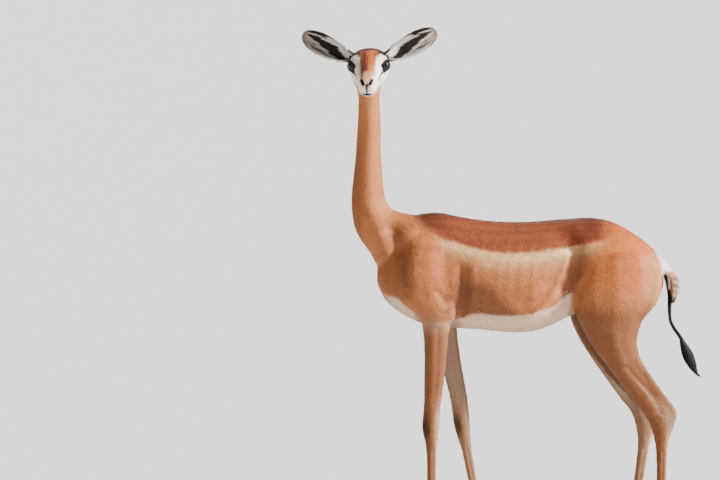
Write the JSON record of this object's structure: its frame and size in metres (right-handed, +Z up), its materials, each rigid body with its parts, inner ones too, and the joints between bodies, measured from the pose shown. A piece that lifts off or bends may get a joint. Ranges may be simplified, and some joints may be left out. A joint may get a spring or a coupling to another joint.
{
  "type": "gerenuk",
  "caption": "Life-size standing female gerenuk, a slender long-necked antelope, with its head turned to one side and its ears spread.",
  "frame": {"origin": "centre of the bounding box, on the ground under the hooves", "axes": "+Z up, +X from the chest towards the rump along the body, -Y the side that the face looks towards, which is the animal's left"},
  "size_m": [1.0014, 0.2724, 1.3698],
  "materials": {
    "coat": "short, flat, reddish-brown hair",
    "ear": "thin ear with short hair, black and white inside",
    "eye": "wet, very dark brown",
    "hoof": "satin black horn",
    "tuft": "glossy black hair"
  },
  "bodies": {
    "root": {"torso": "coat", "neck": "coat", "head": "coat", "tail": "coat", "leg_fore_left_upper": "coat", "leg_fore_left_lower": "coat", "leg_fore_right_upper": "coat", "leg_fore_right_lower": "coat", "leg_hind_left_upper": "coat", "leg_hind_left_lower": "coat", "leg_hind_right_upper": "coat", "leg_hind_right_lower": "coat", "ear_left": "ear", "eye_left": "eye", "ear_right": "ear", "eye_right": "eye", "tail_tuft": "tuft", "hoof_fore_left_outer": "hoof", "dewclaw_fore_left_outer": "hoof", "hoof_fore_left_inner": "hoof", "dewclaw_fore_left_inner": "hoof", "hoof_fore_right_outer": "hoof", "dewclaw_fore_right_outer": "hoof", "hoof_fore_right_inner": "hoof", "dewclaw_fore_right_inner": "hoof", "hoof_hind_left_outer": "hoof", "dewclaw_hind_left_outer": "hoof", "hoof_hind_left_inner": "hoof", "dewclaw_hind_left_inner": "hoof", "hoof_hind_right_outer": "hoof", "dewclaw_hind_right_outer": "hoof", "hoof_hind_right_inner": "hoof", "dewclaw_hind_right_inner": "hoof"}
  },
  "joints": []
}
